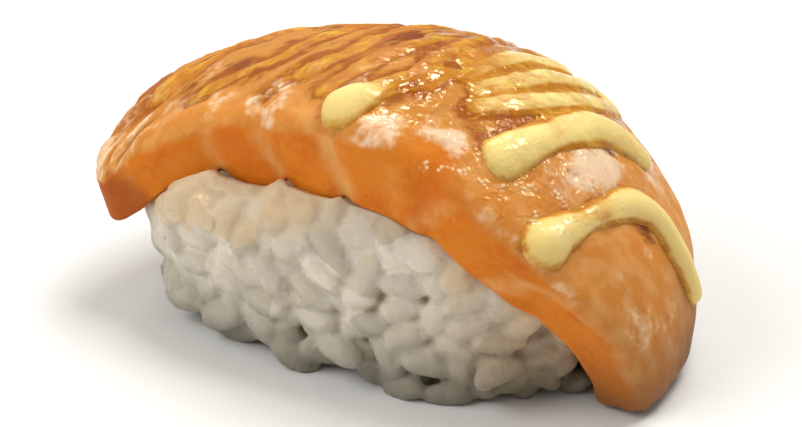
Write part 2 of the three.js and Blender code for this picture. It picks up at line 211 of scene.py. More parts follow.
class RiceSettings(bpy.types.PropertyGroup):
    """Sizes, numbers and colours of the rice."""

    length: length_property("Grain length", "Length of a cooked grain", 6.3 * MM)
    width: length_property("Grain width", "Width of a cooked grain", 3.7 * MM)
    thickness: length_property("Grain thickness", "Thickness of a cooked grain", 3.0 * MM)
    outer: count_property("Outer grains", "Number of grains on the outside", 215)
    deep: count_property("Deep grains", "Number of grains in the gaps between them", 160)
    voxel: length_property("Voxel", "Size of the grid that presses grains together", 0.30 * MM)
    grain: colour_property("Grain", "Warm white of cooked rice", paint(224, 214, 196))
    clear: colour_property("Clear grain", "Grains that are a little clearer", paint(190, 181, 162))
    # Painted shade: the hollows deep between the grains are painted darker.
    gap: colour_property("Gap shade", "Moist rice deep between the grains", paint(132, 104, 72))
    # Painted shade: grains are painted darker towards the foot of the heap.
    foot_shade: colour_property("Foot shade", "Damp grains at the foot", paint(112, 108, 92))
    shaded: colour_property("Shaded grains", "Rice beside the hanging end", paint(158, 122, 76))
    # Partly the salmon's oil, partly a painted orange reflection of the salmon on the rice near its
    # underside.
    oil_and_reflection: colour_property("Oily grains", "Rice that the salmon's oil has reached", paint(213, 187, 150))


class StudioSettings(bpy.types.PropertyGroup):
    """Floor, lamps and camera."""

    floor: colour_property("Floor", "Pale floor", paint(236, 235, 232))
    key: power_property("Key lamp", "Power of the wide lamp above", 2.9)
    spark: power_property("Spark lamp", "Power of each small lamp", 2.1)
    fill: power_property("Fill lamp", "Power of the lamp in front", 2.5)
    sky: FloatProperty(name="Sky", description="Strength of the even light", default=0.40, min=0)
    lens: FloatProperty(name="Lens", description="Focal length", default=137.82, unit="CAMERA")


# ---------------------------------------------------------------- curves and the bend of the slice


def stations(values):
    """Smooth reading of values that stand at even steps, at a share of the whole from 0 to 1."""
    known = np.array([values[0], *values, values[-1]], float)

    def read(share):
        place = np.clip(share, 0, 1) * (len(values) - 1)
        index = np.minimum(np.floor(place).astype(int), len(values) - 2)
        t = place - index
        before, start, end, after = (known[index + step] for step in range(4))
        out, into = (end - before) / 2, (after - start) / 2
        bent = (2 * start - 2 * end + out + into) * t + (3 * end - 3 * start - 2 * out - into)
        return (bent * t + out) * t + start

    return read


slope_at = stations([math.radians(slope) for slope in SLICE_SLOPES])
half_width_at = stations(SLICE_HALF_WIDTHS)
side_shift_at = stations(SLICE_SIDE_SHIFTS)
thickness_at = stations(SLICE_THICKNESSES)


def sum_middle_line():
    """Distances along the middle of the slice's underside, with place and slope at each."""
    distance = np.arange(-LINE_OVERRUN, SLICE_LENGTH + LINE_OVERRUN, LINE_STEP)
    slope = slope_at(distance / SLICE_LENGTH)
    x = np.concatenate([[0], np.cumsum(np.cos(slope[:-1]))]) * LINE_STEP
    z = np.concatenate([[0], np.cumsum(np.sin(slope[:-1]))]) * LINE_STEP
    start = round(LINE_OVERRUN / LINE_STEP)
    return distance, x - x[start] + SLICE_START[0], z - z[start] + SLICE_START[1], slope


LINE_DISTANCE, LINE_X, LINE_Z, LINE_SLOPE = sum_middle_line()


def skew_at(share):
    """How far along the slice its cross lines run for each mm across."""
    return SKEW_RAISED * (1 - share) ** 2 + SKEW_HANGING * share**2


def bend(flat):
    """Carries points of the flat slice, shape (n, 3), to their place on the rice."""
    x, y, z = flat.T
    share = x / SLICE_LENGTH
    across = y + side_shift_at(share)
    distance = x + y * skew_at(share)
    line_x, line_z, slope = (
        np.interp(distance, LINE_DISTANCE, line) for line in (LINE_X, LINE_Z, LINE_SLOPE)
    )
    height = z - CROSS_CURVE * across**2
    return np.stack([line_x - np.sin(slope) * height, across, line_z + np.cos(slope) * height], -1)


def unbend(points):
    """Carries placed points, shape (n, 3), back to where they are on or off the flat slice."""
    fall = CROSS_CURVE * points[:, 1:2] ** 2
    dx = points[:, 0:1] - LINE_X - np.sin(LINE_SLOPE) * fall
    dz = points[:, 2:3] - LINE_Z + np.cos(LINE_SLOPE) * fall
    nearest = np.argmin(dx**2 + dz**2, 1)
    row = np.arange(len(points))
    slope, distance = LINE_SLOPE[nearest], LINE_DISTANCE[nearest]
    share = distance / SLICE_LENGTH
    y = points[:, 1] - side_shift_at(share)
    z = np.cos(slope) * dz[row, nearest] - np.sin(slope) * dx[row, nearest]
    return np.stack([distance - y * skew_at(share), y, z], -1)


def smoothstep(value, low, high):
    share = np.clip((value - low) / (high - low), 0, 1)
    return share * share * (3 - 2 * share)


def noise(points, size, seed):
    """Smooth noise between about -1 and 1, in lumps of the given size, one or one for each axis."""
    lattice = np.random.default_rng(seed).uniform(-1, 1, (32, 32, 32))
    place = points / size
    cell = np.floor(place).astype(int)
    share = place - cell
    share = share * share * (3 - 2 * share)
    total = np.zeros(len(points))
    for corner in product((0, 1), repeat=3):
        weight = np.prod(np.where(corner, share, 1 - share), axis=1)
        index = (cell + corner) % 32
        total += weight * lattice[index[:, 0], index[:, 1], index[:, 2]]
    return total


def fractal(points, size, seed, layers=3):
    """Layers of noise, each half the size and half the height of the one before."""
    size = np.asarray(size, float)
    return sum(noise(points, size / 2**n, seed + n) / 2**n for n in range(layers))


# ---------------------------------------------------------------- meshes


def add_piece(name, points, faces, material, node, values):
    """Makes a mesh object from points in mm, standing for a solid, with a value for each point."""
    mesh = bpy.data.meshes.new(name)
    mesh.from_pydata((points * MM).tolist(), [], faces)
    for key, data in values.items():
        kind, field = ("FLOAT_VECTOR", "vector") if data.ndim == 2 else ("FLOAT", "value")
        layer = mesh.attributes.new(key, kind, "POINT")
        layer.data.foreach_set(field, np.ascontiguousarray(data, np.float32).ravel())
    mesh.validate()
    mesh.shade_smooth()
    mesh.materials.append(material)
    piece = bpy.data.objects.new(name, mesh)
    bpy.context.scene.collection.objects.link(piece)
    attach(piece, "root")
    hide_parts(node)
    return piece


def box_grid(along, across, up):
    """Points, as shares of a box from 0 to 1, and outward faces of its six sides."""
    index = np.full((along + 1, across + 1, up + 1), -1)
    shell = np.ones(index.shape, bool)
    shell[1:-1, 1:-1, 1:-1] = False
    index[shell] = np.arange(shell.sum())
    shares = np.argwhere(shell) / (along, across, up)
    sides = (
        (index[:, :, 0], True), (index[:, :, -1], False),
        (index[:, 0, :], False), (index[:, -1, :], True),
        (index[0], True), (index[-1], False),
    )
    faces = []
    for side, turned in sides:
        quads = np.stack([side[:-1, :-1], side[1:, :-1], side[1:, 1:], side[:-1, 1:]], -1)
        faces.extend((quads[..., ::-1] if turned else quads).reshape(-1, 4).tolist())
    return shares, faces


def ringed(rings):
    """Points and faces of a closed skin over rings; the first and last ring are single points."""
    count, sides = rings.shape[:2]
    points = np.concatenate([rings[0, :1], rings[1:-1].reshape(-1, 3), rings[-1, :1]])
    last = len(points) - 1
    faces = []
    for side in range(sides):
        beside = (side + 1) % sides
        faces.append((0, 1 + beside, 1 + side))
        for ring in range(count - 3):
            low = 1 + ring * sides
            faces.append((low + side, low + beside, low + sides + beside, low + sides + side))
        low = 1 + (count - 3) * sides
        faces.append((last, low + side, low + beside))
    return points, faces


def normals_of(points, faces):
    """Outward direction at each point of a mesh, from the area of the faces round it."""
    total = np.zeros_like(points)
    for size in {len(face) for face in faces}:
        corners = np.array([face for face in faces if len(face) == size])
        ends = points[corners]
        area = np.cross(ends[:, 2] - ends[:, 0], ends[:, -1] - ends[:, 1])
        if size == 3:
            area = np.cross(ends[:, 1] - ends[:, 0], ends[:, 2] - ends[:, 0])
        for corner in range(size):
            np.add.at(total, corners[:, corner], area)
    return total / np.maximum(np.linalg.norm(total, axis=1, keepdims=True), 1e-12)


# ---------------------------------------------------------------- node trees


def add_node(tree, kind, inputs=(), **settings):
    """Adds a node. inputs maps a socket to a value or to the output of another node."""
    node = tree.nodes.new(kind)
    for key, value in settings.items():
        setattr(node, key, value)
    for key, value in dict(inputs).items():
        if isinstance(value, bpy.types.NodeSocket):
            tree.links.new(value, node.inputs[key])
        else:
            node.inputs[key].default_value = value
    return node


def opaque(colour):
    return (*colour, 1.0)


def mix(tree, share, first, second):
    """Goes from the first colour to the second as the share goes from 0 to 1."""
    first, second = (c if isinstance(c, bpy.types.NodeSocket) else opaque(c) for c in (first, second))
    node = add_node(tree, "ShaderNodeMix", {0: share, 6: first, 7: second}, data_type="RGBA")
    return node.outputs[2]


def maths(tree, operation, first, second=0.0):
    node = add_node(tree, "ShaderNodeMath", {0: first, 1: second}, operation=operation)
    return node.outputs[0]


def times(tree, first, second):
    return maths(tree, "MULTIPLY", first, second)


def plus(tree, first, second):
    return maths(tree, "ADD", first, second)


def step_between(tree, value, low, high, bottom=0.0, top=1.0):
    """Rises smoothly from bottom to top as the value goes from low to high."""
    sockets = {"Value": value, "From Min": low, "From Max": high, "To Min": bottom, "To Max": top}
    node = add_node(tree, "ShaderNodeMapRange", sockets, interpolation_type="SMOOTHSTEP")
    return node.outputs[0]


def noise_node(tree, vector, scale, detail=3.0, distortion=0.0):
    sockets = {"Vector": vector, "Scale": scale, "Detail": detail, "Distortion": distortion}
    return add_node(tree, "ShaderNodeTexNoise", sockets).outputs[0]


def painted(tree, name):
    """A value that the mesh holds at each of its points."""
    return add_node(tree, "ShaderNodeAttribute", attribute_name=name).outputs["Fac"]


def flat_place(tree, sizes=(1, 1, 1), turn=0.0):
    """Place on the flat slice, in lengths of the given sizes in mm, along axes turned by degrees."""
    place = add_node(tree, "ShaderNodeAttribute", attribute_name="flat").outputs["Vector"]
    turned = {"Vector": place, "Rotation": (0, 0, math.radians(turn)), "Scale": sizes}
    return add_node(tree, "ShaderNodeMapping", turned, vector_type="TEXTURE").outputs[0]


def new_group(name, inputs, outputs):
    """An empty node group. inputs and outputs map each socket's name to its kind."""
    group = bpy.data.node_groups.new(name, "ShaderNodeTree")
    for way, sockets in (("INPUT", inputs), ("OUTPUT", outputs)):
        for socket, kind in sockets.items():
            group.interface.new_socket(socket, in_out=way, socket_type=f"NodeSocket{kind}")
    entry = group.nodes.new("NodeGroupInput")
    leave = group.nodes.new("NodeGroupOutput")
    return group, entry.outputs, leave.inputs


def use_group(tree, group, inputs):
    return add_node(tree, "ShaderNodeGroup", inputs, node_tree=group).outputs


def torching_group():
    """Browns a colour to gold and then to a scorched one, with ragged edges."""
    group, given, result = new_group(
        "Torching",
        {"Colour": "Color", "Place": "Vector", "Browning": "Float", "Scorching": "Float",
         "Golden": "Color", "Blistered": "Color", "Scorched": "Color"},
        {"Colour": "Color"},
    )
    soft = noise_node(group, given["Place"], 0.55, 4)
    fine = noise_node(group, given["Place"], 2.6, 3)
    ragged = plus(group, times(group, soft, 0.7), times(group, fine, 0.3))
    offset = times(group, maths(group, "SUBTRACT", ragged, 0.5), 1.4)
    gold = step_between(group, plus(group, given["Browning"], offset), 0.2, 0.8)
    char = step_between(group, plus(group, given["Scorching"], offset), 0.42, 0.72)
    blister = step_between(group, noise_node(group, given["Place"], 1.3, 4, 0.4), 0.50, 0.62, 0.0, 0.75)
    crust = mix(group, blister, given["Golden"], given["Blistered"])
    specks = step_between(group, noise_node(group, given["Place"], 3.2, 3), 0.54, 0.66, 0.0, 0.5)
    crust = mix(group, specks, crust, given["Scorched"])
    browned = mix(group, gold, given["Colour"], crust)
    group.links.new(mix(group, char, browned, given["Scorched"]), result["Colour"])
    return group


def oil_film_group():
    """Oil on the top: glossy ripples where it is wet, and trails of small pale beads, their paleness
    partly a painted highlight.
    """
    group, given, result = new_group(
        "Oil film",
        {"Place": "Vector", "Wetness": "Float", "Trail": "Float", "Colour": "Color", "Bead glint": "Color"},
        {"Height": "Float", "Roughness": "Float", "Colour": "Color"},
    )
    ripple = noise_node(group, given["Place"], 1.05, 1, 0.8)
    grain = noise_node(group, given["Place"], 4.5, 2)
    patches = step_between(group, noise_node(group, given["Place"], 0.4, 2), 0.36, 0.56)
    wet = times(group, given["Wetness"], patches)
    cells = add_node(group, "ShaderNodeTexVoronoi", {"Vector": given["Place"], "Scale": 2.2})
    dome = step_between(group, cells.outputs["Distance"], 0.60, 0.15)
    broken = step_between(group, noise_node(group, given["Place"], 0.7, 2), 0.42, 0.55)
    beads = times(group, times(group, dome, broken), given["Trail"])
    swell = step_between(group, given["Wetness"], 0.0, 1.0, 0.15, 0.75)
    waves = plus(group, times(group, ripple, swell), times(group, grain, 0.09))
    group.links.new(plus(group, waves, times(group, beads, 0.35)), result["Height"])
    gloss = maths(group, "MAXIMUM", wet, beads)
    group.links.new(step_between(group, gloss, 0.0, 0.8, 0.7, 0.12), result["Roughness"])
    # Painted highlight, in part: the beads are painted pale.
    pale = times(group, beads, 0.8)
    group.links.new(mix(group, pale, given["Colour"], given["Bead glint"]), result["Colour"])
    return group


def new_material(name):
    """A material with an empty tree but for its output, and that tree."""
    material = bpy.data.materials.new(name)
    material.use_nodes = True
    tree = material.node_tree
    tree.nodes.clear()
    return material, tree


def finish_material(tree, inputs, radius, **bump):
    """Puts the surface shader at the end of a tree, with light that goes radius mm into it."""
    normal = add_node(tree, "ShaderNodeBump", bump).outputs[0]
    sockets = {
        **inputs, "Normal": normal, "Subsurface Radius": radius, "Subsurface Scale": MM,
    }
    shader = add_node(tree, "ShaderNodeBsdfPrincipled", sockets)
    add_node(tree, "ShaderNodeOutputMaterial", {"Surface": shader.outputs[0]})


# ---------------------------------------------------------------- salmon


def corner_inset(distance, radius):
    """How far a rounded corner of the slice's plan stands in at this distance from the end."""
    share = np.clip(1 - distance / radius, 0, 1)
    return radius * (1 - np.sqrt(1 - share * share))


def edge_at(x, side):
    """Half width of the slice on its front, where side is negative, or on its back."""
    raised = np.where(side < 0, CORNERS_FRONT[0], CORNERS_BACK[0])
    hanging = np.where(side < 0, CORNERS_FRONT[1], CORNERS_BACK[1])
    inset = corner_inset(x, raised) + corner_inset(SLICE_LENGTH - x, hanging)
    return half_width_at(x / SLICE_LENGTH) - inset


def sear_depth(x, y):
    fade = 1 - smoothstep(x / SLICE_LENGTH, *SEAR_FADE)
    turns, per_width = SEAR_WANDER
    phase = (x - SEAR_SLANT * y) / SEAR_PITCH + turns * np.sin(per_width * y)
    return SEAR_DEPTH * fade * (0.5 - 0.5 * np.sin(2 * math.pi * phase))


def groove_depth(x, height):
    leaned = x - GROOVE_LEAN * height
    places = np.array(GROOVE_PLACES) * SLICE_LENGTH
    return GROOVE_DEPTH * np.exp(-(((leaned[:, None] - places) / GROOVE_WIDTH) ** 2)).sum(1)


def lower_edge_rise(x, y):
    """How far the underside stands up along its scalloped front edge, less where it hangs."""
    front = np.clip((-y / half_width_at(x / SLICE_LENGTH) - GROOVE_FROM) / (1 - GROOVE_FROM), 0, 1)
    along, rise = np.array(SCALLOPS).T
    return smoothstep(front, 0, 1) * np.interp(x / SLICE_LENGTH, along, rise)


def flat_slice(shares):
    """Places shares of a box on the flat slice with its rounded edges, and the way out at each."""
    x = shares[:, 0] * SLICE_LENGTH
    side = 2 * shares[:, 1] - 1
    height = shares[:, 2]
    edge = edge_at(x, side)
    thickness = thickness_at(shares[:, 0])
    half = np.stack([np.full(len(x), SLICE_LENGTH / 2), edge, thickness / 2], -1)
    change = smoothstep(height, *EDGE_RADIUS_CHANGES)[:, None]
    radius = LOWER_EDGE_RADIUS + (SLICE_EDGE_RADIUS - LOWER_EDGE_RADIUS) * change
    middle = np.stack([x - SLICE_LENGTH / 2, side * edge, (height - 0.5) * thickness], -1)
    kept = np.clip(middle, radius - half, half - radius)
    out = middle - kept
    out /= np.maximum(np.linalg.norm(out, axis=1, keepdims=True), 1e-9)
    flat = kept + out * radius
    top_share = np.clip(flat[:, 2] / half[:, 2], 0, 1)
    front_share = np.clip((-flat[:, 1] / edge - GROOVE_FROM) / (1 - GROOVE_FROM), 0, 1)
    groove = front_share * groove_depth(x, 0.5 - height)
    flat[:, 1] += groove
    flat[:, 2] += lower_edge_rise(x, flat[:, 1]) * (1 - height) - top_share * sear_depth(x, flat[:, 1])
    lean = END_LEAN[0] + (END_LEAN[1] - END_LEAN[0]) * height + END_LEAN[2] * height * side
    flat[:, 0] += lean * (1 - smoothstep(x, 0, END_LEAN_REACH))
    return flat + half * (1, 0, 1), out


def strand_lines():
    """Each strand's centre line on the flat slice, as rows of x, y, half width and browning."""
    strands = [(rise, np.array(path)) for rise, path in SAUCE_STRANDS]
    for first, second in SAUCE_TURNS:
        start, end = strands[first][1][-1], strands[second][1][-1]
        past = np.array([0, TURN_OVERSHOOT, 0, 0])
        strands.append((strands[second][0], np.array([start, start + past, end + past, end])))
    lines = []
    for rise, path in strands:
        knots = path * (SLICE_LENGTH, 1, 1, 1)
        knots[:, 1] *= half_width_at(path[:, 0])
        length = np.linalg.norm(np.diff(knots[:, :2], axis=0), axis=1).sum()
        share = np.linspace(0, 1, max(12, round(length / 0.5)))
        lines.append((rise, np.stack([stations(column)(share) for column in knots.T], -1)))
    return lines


STRAND_LINES = strand_lines()


def nearest_strand(flat):
    """For points of the flat slice: distance to the nearest strand in its half widths, browning."""
    spots = np.concatenate([line for _, line in STRAND_LINES])
    near = np.full(len(flat), np.inf)
    browning = np.zeros(len(flat))
    batch = 64
    for start in range(0, len(spots), batch):
        part = spots[start:start + batch]
        away = np.hypot(flat[:, :1] - part[:, 0], flat[:, 1:2] - part[:, 1]) / part[:, 2]
        best = np.argmin(away, 1)
        least = away[np.arange(len(flat)), best]
        closer = least < near
        near = np.where(closer, least, near)
        browning = np.where(closer, part[best, 3], browning)
    return near, browning


def patches(flat, places):
    """Soft round patches on the top: share along, share across, half sizes in mm and strength."""
    total = np.zeros(len(flat))
    for along, across, half_along, half_across, strength in places:
        dx = (flat[:, 0] - along * SLICE_LENGTH) / half_along
        dy = (flat[:, 1] - across * half_width_at(along)) / half_across
        total = np.maximum(total, strength * np.exp(-(dx**2 + dy**2) ** 1.5))
    return total


# Trails of oil beads on the top: share along and share across.
OIL_TRAILS = (
    ((0.662, -0.76), (0.674, -0.68), (0.688, -0.60), (0.702, -0.53), (0.718, -0.50), (0.728, -0.53),
     (0.734, -0.58), (0.740, -0.67), (0.744, -0.77), (0.738, -0.82), (0.732, -0.84), (0.718, -0.80),
     (0.708, -0.72)),
    ((0.534, -0.87), (0.554, -0.92), (0.584, -0.93), (0.612, -0.86), (0.648, -0.80)),
    ((0.660, 0.09), (0.666, 0.00), (0.672, -0.07), (0.670, -0.14)),
    ((0.728, -0.22), (0.744, -0.20), (0.748, -0.27)),
)
TRAIL_HALF_WIDTH = 0.35


def trails(flat):
    """How much each point lies on a trail of oil beads."""
    nearest = np.full(len(flat), np.inf)
    for trail in OIL_TRAILS:
        along, across = np.array(trail).T
        turns = np.linspace(0, 1, 12 * len(trail))
        x = stations(along)(turns) * SLICE_LENGTH
        y = stations(across)(turns) * half_width_at(x / SLICE_LENGTH)
        for spot in zip(x, y):
            nearest = np.minimum(nearest, np.hypot(*(flat[:, :2] - spot).T))
    return 1 - smoothstep(nearest, 0.4 * TRAIL_HALF_WIDTH, 1.4 * TRAIL_HALF_WIDTH)


def wetness(flat):
    """How much oil stands on the top: most of it in the middle, between the untorched strands."""
    share = flat[:, 0] / SLICE_LENGTH
    along = smoothstep(share, 0.40, 0.50) * (1 - smoothstep(share, 0.72, 0.80))
    inwards = np.abs(flat[:, 1]) / half_width_at(share)
    return 0.2 + 0.8 * along * (1 - smoothstep(inwards + 0.2 * noise(flat, 3.0, 17), 0.75, 1.0))


# Turn of the torn fibres, in degrees, and patches of torn rim, of fat and of scorching: share along,
# share across, half sizes in mm and strength.
FIBRE_TURN = 37
RIM_PATCHES = (
    (0.010, -0.60, 3.0, 7.0, 1.2), (0.035, -0.84, 3.2, 3.4, 1.3), (0.075, -0.84, 2.6, 2.6, 1.2),
    (0.112, -0.78, 2.4, 2.2, 1.1), (0.140, -0.68, 2.2, 2.2, 0.9), (0.168, -0.54, 1.8, 2.0, 0.6),
    (0.190, -0.40, 1.4, 1.8, 0.4),
)
FAT_PATCHES = (
    (0.512, -0.90, 2.5, 2.2, 0.85), (0.576, -0.77, 2.9, 1.8, 0.9), (0.338, -0.82, 1.8, 2.8, 0.6),
    (0.305, -0.84, 1.2, 2.0, 0.45), (0.715, -0.03, 2.1, 4.6, 1.0), (0.700, -0.47, 1.9, 1.7, 0.6),
    (0.055, -0.55, 3.0, 5.0, 0.25), (0.105, -0.80, 4.0, 2.2, 0.3), (0.165, -0.74, 3.4, 2.0, 0.3),
    (0.235, -0.80, 3.0, 2.2, 0.25), (0.700, -0.97, 5.0, 1.2, 0.3), (0.790, -0.97, 4.0, 1.0, 0.3),
    (0.828, -0.62, 1.6, 3.0, 0.22), (0.880, -0.66, 2.2, 2.6, 0.3), (0.818, -0.12, 1.8, 2.6, 0.25),
    (0.900, -0.30, 2.2, 2.2, 0.2), (0.760, 0.55, 2.6, 3.2, 0.45),
)
SCORCH_PATCHES = (
    (0.225, -0.36, 2.6, 2.0, 0.7), (0.155, -0.36, 2.2, 2.8, 0.6), (0.122, -0.36, 1.4, 1.4, 0.6),
    (0.355, -0.53, 2.0, 1.2, 0.7), (0.434, 0.12, 2.2, 3.8, 0.7), (0.472, -0.43, 1.3, 1.6, 0.3),
    (0.640, 0.02, 0.9, 4.0, 0.35), (0.708, 0.16, 1.8, 2.2, 0.7), (0.800, -0.08, 2.4, 1.8, 0.6),
    (0.712, -0.29, 2.2, 0.5, 0.7), (0.300, 0.10, 2.2, 1.8, 0.6), (0.060, 0.62, 3.0, 2.4, 0.8),
    (0.170, 0.55, 3.0, 2.0, 0.7), (0.380, 0.85, 2.4, 1.6, 0.6), (0.665, -0.74, 2.4, 0.8, 0.4),
    (0.380, -0.36, 1.6, 1.6, 0.6), (0.270, -0.50, 1.8, 1.2, 0.5),
)
# Pale lines on the cut sides: half width in mm, strength, and for places from the underside up
# the share along and the share up.
SEAM_LINES = (
    (0.9, 0.5, ((0.088, 0.0), (0.088, 0.4), (0.105, 1.0))),
    (1.8, 0.6, ((0.248, 0.0), (0.243, 0.6), (0.236, 0.95))),
    (1.2, 0.7, ((0.372, 0.0), (0.350, 0.33), (0.334, 0.65), (0.318, 1.0))),
    (1.5, 1.0, ((0.480, 0.0), (0.462, 0.32), (0.446, 0.65), (0.432, 1.0))),
    (0.9, 0.3, ((0.560, 0.0), (0.545, 0.5), (0.535, 1.0))),
    (1.5, 0.6, ((0.585, 0.0), (0.590, 0.15), (0.612, 0.55), (0.640, 1.0))),
    (1.7, 0.8, ((0.735, 0.0), (0.740, 0.2), (0.760, 0.60), (0.800, 0.80), (0.880, 0.95))),
)


def seam_depth(flat):
    """How much each point lies on a seam between two flakes, seen from the cut sides."""
    upright = flat[:, 2] / thickness_at(flat[:, 0] / SLICE_LENGTH)
    total = np.zeros(len(flat))
    for half, strength, line in SEAM_LINES:
        along, up = np.array(line).T
        middle = np.interp(upright, up, along) * SLICE_LENGTH
        total = np.maximum(total, strength * np.exp(-(((flat[:, 0] - middle) / half) ** 2)))
    return total


class NIGIRI_OT_salmon(bpy.types.Operator):
    """Makes the torched slice of salmon"""

    bl_idname = "nigiri.salmon"
    bl_label = "Salmon slice"

    def execute(self, context):
        settings = context.scene.nigiri_salmon
        step = settings.grid / MM
        sizes = (SLICE_LENGTH, 2 * max(SLICE_HALF_WIDTHS), max(SLICE_THICKNESSES))
        shares, faces = box_grid(*(round(size / step) for size in sizes))
        flat, out = flat_slice(shares)
        share = flat[:, 0] / SLICE_LENGTH
        upright = flat[:, 2] / thickness_at(share)
        on_top = smoothstep(out[:, 2] + 0.25 * noise(flat, 3.0, 3), 0.25, 0.8)
        on_side = 1 - smoothstep(np.abs(out[:, 2]), 0.35, 0.9)
        inwards = np.abs(flat[:, 1]) / half_width_at(share) + 0.12 * noise(flat, 4.0, 9)
        near, near_browning = nearest_strand(flat)
        torched = 1 - smoothstep(share + 0.12 * noise(flat, 9.0, 5), 0.5, 0.8)
        torched *= 1 - 0.8 * smoothstep(inwards, 0.55, 0.8) * (flat[:, 1] < 0)
        valley = smoothstep(near + 0.8 * noise(flat, 2.2, 7), 1.2, 2.6)
        streak = valley * (1 - smoothstep(inwards, 0.6, 0.85))
        raw = smoothstep(inwards, 0.80, 0.98) * (flat[:, 1] < 0) * smoothstep(share, 0.50, 0.56)
        on_top *= 1 - raw * (1 - smoothstep(share, 0.62, 0.70))
        halo = on_top * (1 - smoothstep(near + 0.3 * noise(flat, 1.2, 15), 1.0, 1.9))
        oiled = smoothstep(share, 0.34, 0.46) * (1 - smoothstep(share, 0.64, 0.72))
        oiled *= 1 - smoothstep(inwards, 0.5, 0.75)
        along_fibres = flat @ np.array(Matrix.Rotation(math.radians(FIBRE_TURN), 3, "Z"))
        fibres = fractal(along_fibres, (5.0, 0.75, 0.9), 31, 2)
        fat = patches(flat, FAT_PATCHES) * on_top * (1 + 0.5 * fibres)
        scorch = patches(flat, SCORCH_PATCHES) * on_top
        end_face = smoothstep(-out[:, 0], 0.3, 0.8) * smoothstep(upright, 0.35, 0.6)
        rim = np.maximum(on_top, end_face) * np.minimum(patches(flat, RIM_PATCHES), 1)
        seam = seam_depth(flat) * on_side * smoothstep(upright, -0.1, 0.25)
        lumps = fractal(flat, (5.0, 3.4, 2.6), 11)
        wrinkles = 1 - np.abs(fractal(flat, (3.4, 1.3, 2.0), 21))
        relief = settings.relief / MM
        height = relief * (lumps + on_top * torched * 0.9 * wrinkles * (0.4 + valley))
        height += fat * 0.22 - scorch * 0.16 - seam * 0.12 + 0.3 * rim * fibres
        points = bend(flat + out * height[:, None])
        low_corner = flat[:, 0] + 4.2 * upright + 0.9 * noise(flat, 2.5, 14)
        values = {
            "flat": flat, "top": on_top, "fat": fat, "seam": seam,
            # The torn rim is pale, and paler on its raised fibres as a painted highlight.
            "rim": rim * (0.1 + 0.65 * smoothstep(fibres, -0.05, 0.45)),
            "wet": on_top * wetness(flat),
            "trail": trails(flat) * smoothstep(out[:, 2], -0.2, 0.3),
            "torched": np.maximum(torched, 0.8 * oiled) * on_top, "valley": valley,
            "streak": streak, "scorch": scorch, "halo": halo * (0.4 + 0.45 * near_browning),
            # Painted shade in the cracks between the torn fibres of the rim.
            "crack_shade": smoothstep(-fibres, 0.15, 0.7) * rim,
            # Painted shade: darker towards the hanging end's tip.
            "tip_shade": smoothstep(share + 0.03 * noise(flat, 5.0, 13), 0.82, 1.0) ** 1.2,
            "toe": (1 - smoothstep(low_corner, 8.4, 11.0)) * (1 - rim),
        }
        add_piece("salmon_slice", points, faces, salmon_material(settings), "salmon", values)
        return {"FINISHED"}


